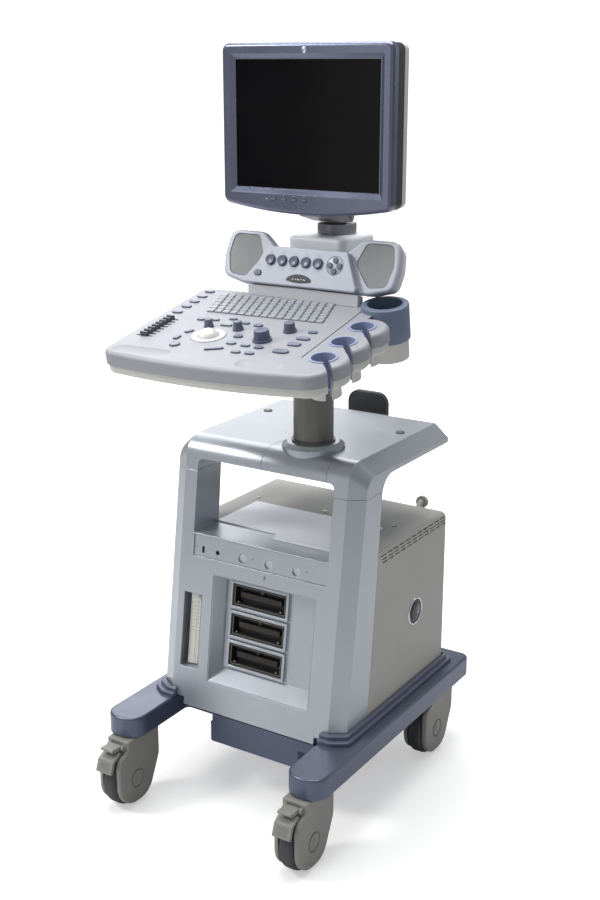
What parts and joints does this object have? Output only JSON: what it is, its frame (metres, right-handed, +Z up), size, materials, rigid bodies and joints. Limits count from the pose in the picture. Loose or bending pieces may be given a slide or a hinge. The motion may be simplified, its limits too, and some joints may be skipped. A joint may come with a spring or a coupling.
{
  "type": "ultrasound machine",
  "caption": "Mobile ultrasound cart with swivel castors, arched front, height-adjustable tilted control console, probe holders and tilting monitor.",
  "frame": {"origin": "on the floor, at the middle of the whole machine's footprint", "axes": "+Z up, the front faces -Y, +X to the right of someone facing the front"},
  "size_m": [0.484, 0.6584, 1.402],
  "materials": {
    "base_paint": "satin",
    "collar_plastic": "satin",
    "castor_plastic": "satin",
    "tyre": "matte",
    "steel": "satin",
    "pedal_plastic": "satin",
    "cover_silver": "satin",
    "cover_pale": "satin",
    "casing_paint": "fine texture",
    "panel_metal": "satin",
    "strip_dark": "satin",
    "socket_dark": "matte",
    "card": "matte",
    "hook_rubber": "matte",
    "board": "satin",
    "supply_metal": "satin",
    "column_paint": "satin",
    "console_top": "fine texture",
    "console_shell": "satin",
    "key_caps": "satin",
    "button_caps": "satin",
    "slider_caps": "satin",
    "ball": "gloss",
    "ring": "satin",
    "knob_grey": "satin",
    "knob_blue": "satin",
    "cup_rubber": "matte",
    "gel_plastic": "satin",
    "bar_plastic": "satin",
    "bar_shell": "satin",
    "grille": "satin",
    "neck_shell": "satin",
    "neck_metal": "satin",
    "bezel": "satin",
    "monitor_dark": "satin",
    "monitor_shell": "satin",
    "screen": "gloss"
  },
  "bodies": {
    "cart": {"base_frame": "base_paint", "base_collar": "collar_plastic", "front_pod": "base_paint", "castor_stems": "steel", "front_fascia": "cover_silver", "platform_shell": "cover_pale", "arch_cap": "cover_silver", "rear_casing": "casing_paint", "casing_lid": "cover_pale", "rear_panel": "panel_metal", "control_strip": "strip_dark", "front_sockets": "socket_dark", "port_bezel": "strip_dark", "probe_ports": "socket_dark", "pocket_card": "card", "cable_hook": "hook_rubber", "cover_screws": "steel", "power_supply": "supply_metal", "electronics_rack": "board", "cooling_fan": "socket_dark", "column_tube": "column_paint", "gas_cylinder": "steel"},
    "lift": {"column_inner": "steel", "gas_rod": "steel"},
    "console": {"console_upper": "console_top", "console_lower": "console_shell", "probe_cups": "cup_rubber", "gel_cup": "gel_plastic", "trackball_ring": "ring", "bar_front": "bar_plastic", "bar_rear": "bar_shell", "speaker_grilles": "grille", "neck_housing": "neck_shell"},
    "keyboard": {"keyboard_keys": "key_caps"},
    "console_buttons": {"push_buttons": "button_caps"},
    "sliders": {"slide_pots": "slider_caps"},
    "ball": {"trackball": "ball"},
    "knob_left": {"dial_left": "knob_grey"},
    "knob_centre": {"dial_centre": "knob_grey"},
    "knob_main": {"dial_main": "knob_blue"},
    "knob_right": {"dial_right": "knob_grey"},
    "bar_keys": {"bar_buttons": "button_caps"},
    "nav": {"nav_pad": "knob_grey"},
    "neck": {"neck_post": "neck_metal"},
    "monitor": {"monitor_arm": "neck_metal", "monitor_bezel": "bezel", "monitor_band": "monitor_dark", "monitor_back": "monitor_shell", "lcd_panel": "screen"},
    "monitor_keys": {"monitor_buttons": "button_caps"},
    "castor_front_left": {"castor_housing_front_left": "castor_plastic"},
    "wheel_front_left": {"castor_wheel_front_left": "tyre"},
    "pedal_front_left": {"brake_pedal_front_left": "pedal_plastic"},
    "castor_front_right": {"castor_housing_front_right": "castor_plastic"},
    "wheel_front_right": {"castor_wheel_front_right": "tyre"},
    "pedal_front_right": {"brake_pedal_front_right": "pedal_plastic"},
    "castor_rear_left": {"castor_housing_rear_left": "castor_plastic"},
    "wheel_rear_left": {"castor_wheel_rear_left": "tyre"},
    "castor_rear_right": {"castor_housing_rear_right": "castor_plastic"},
    "wheel_rear_right": {"castor_wheel_rear_right": "tyre"}
  },
  "joints": [
    {"name": "swivel_front_left", "type": "hinge", "parent": "cart", "child": "castor_front_left", "pos_m": [-0.1985, -0.2178, 0.14], "axis": [0, 0, 1], "continuous": true},
    {"name": "spin_front_left", "type": "hinge", "parent": "castor_front_left", "child": "wheel_front_left", "pos_m": [-0.1985, -0.2608, 0.056], "axis": [1, 0, 0], "continuous": true},
    {"name": "brake_front_left", "type": "hinge", "parent": "castor_front_left", "child": "pedal_front_left", "pos_m": [-0.1985, -0.2908, 0.129], "axis": [1, 0, 0], "range_deg": [0, 8]},
    {"name": "swivel_front_right", "type": "hinge", "parent": "cart", "child": "castor_front_right", "pos_m": [0.1985, -0.2178, 0.14], "axis": [0, 0, 1], "continuous": true},
    {"name": "spin_front_right", "type": "hinge", "parent": "castor_front_right", "child": "wheel_front_right", "pos_m": [0.1985, -0.2608, 0.056], "axis": [1, 0, 0], "continuous": true},
    {"name": "brake_front_right", "type": "hinge", "parent": "castor_front_right", "child": "pedal_front_right", "pos_m": [0.1985, -0.2908, 0.129], "axis": [1, 0, 0], "range_deg": [0, 8]},
    {"name": "swivel_rear_left", "type": "hinge", "parent": "cart", "child": "castor_rear_left", "pos_m": [-0.1985, 0.2622, 0.14], "axis": [0, 0, 1], "continuous": true},
    {"name": "spin_rear_left", "type": "hinge", "parent": "castor_rear_left", "child": "wheel_rear_left", "pos_m": [-0.1985, 0.2192, 0.056], "axis": [1, 0, 0], "continuous": true},
    {"name": "swivel_rear_right", "type": "hinge", "parent": "cart", "child": "castor_rear_right", "pos_m": [0.1985, 0.2622, 0.14], "axis": [0, 0, 1], "continuous": true},
    {"name": "spin_rear_right", "type": "hinge", "parent": "castor_rear_right", "child": "wheel_rear_right", "pos_m": [0.1985, 0.2192, 0.056], "axis": [1, 0, 0], "continuous": true},
    {"name": "column_lift", "type": "slide", "parent": "cart", "child": "lift", "axis": [0, 0, 1], "range_m": [0, 0.12]},
    {"name": "console_swivel", "type": "hinge", "parent": "lift", "child": "console", "pos_m": [0.061, -0.0038, 0.88], "axis": [0, 0, 1], "range_deg": [-30, 30]},
    {"name": "keyboard_press", "type": "slide", "parent": "console", "child": "keyboard", "axis": [-0.0121, 0.1732, -0.9848], "range_m": [0, 0.002], "stiffness_N_per_m": 4000, "springref_m": -0.001},
    {"name": "button_press", "type": "slide", "parent": "console", "child": "console_buttons", "axis": [-0.0121, 0.1732, -0.9848], "range_m": [0, 0.0015], "stiffness_N_per_m": 2000, "springref_m": -0.0008},
    {"name": "slider_travel", "type": "slide", "parent": "console", "child": "sliders", "axis": [0.9976, 0.0698, 0], "range_m": [-0.012, 0.012]},
    {"name": "ball_roll", "type": "hinge", "parent": "console", "child": "ball", "pos_m": [-0.05845, -0.15842, 0.904], "axis": [0.9976, 0.0698, 0], "continuous": true},
    {"name": "knob_left_turn", "type": "hinge", "parent": "console", "child": "knob_left", "pos_m": [-0.08512, -0.12103, 0.91801], "axis": [0.0121, -0.1732, 0.9848], "continuous": true},
    {"name": "knob_centre_turn", "type": "hinge", "parent": "console", "child": "knob_centre", "pos_m": [-0.02534, -0.11586, 0.91819], "axis": [0.0121, -0.1732, 0.9848], "continuous": true},
    {"name": "knob_main_turn", "type": "hinge", "parent": "console", "child": "knob_main", "pos_m": [0.04597, -0.14641, 0.91194], "axis": [0.0121, -0.1732, 0.9848], "continuous": true},
    {"name": "knob_right_turn", "type": "hinge", "parent": "console", "child": "knob_right", "pos_m": [0.06833, -0.09352, 0.92097], "axis": [0.0121, -0.1732, 0.9848], "continuous": true},
    {"name": "bar_key_press", "type": "slide", "parent": "console", "child": "bar_keys", "axis": [0, 0.9397, -0.342], "range_m": [0, 0.0015], "stiffness_N_per_m": 1500, "springref_m": -0.0005},
    {"name": "nav_press", "type": "slide", "parent": "console", "child": "nav", "axis": [0, 0.9397, -0.342], "range_m": [0, 0.001], "stiffness_N_per_m": 1500, "springref_m": -0.0005},
    {"name": "monitor_swivel", "type": "hinge", "parent": "console", "child": "neck", "pos_m": [0, 0.1772, 1.07], "axis": [0, 0, 1], "range_deg": [-45, 45]},
    {"name": "monitor_tilt", "type": "hinge", "parent": "neck", "child": "monitor", "pos_m": [0, 0.1772, 1.092], "axis": [-1, 0, 0], "range_deg": [-5, 20]},
    {"name": "monitor_key_press", "type": "slide", "parent": "monitor", "child": "monitor_keys", "axis": [0, 1, 0], "range_m": [0, 0.0008], "stiffness_N_per_m": 400, "springref_m": -0.0003}
  ]
}
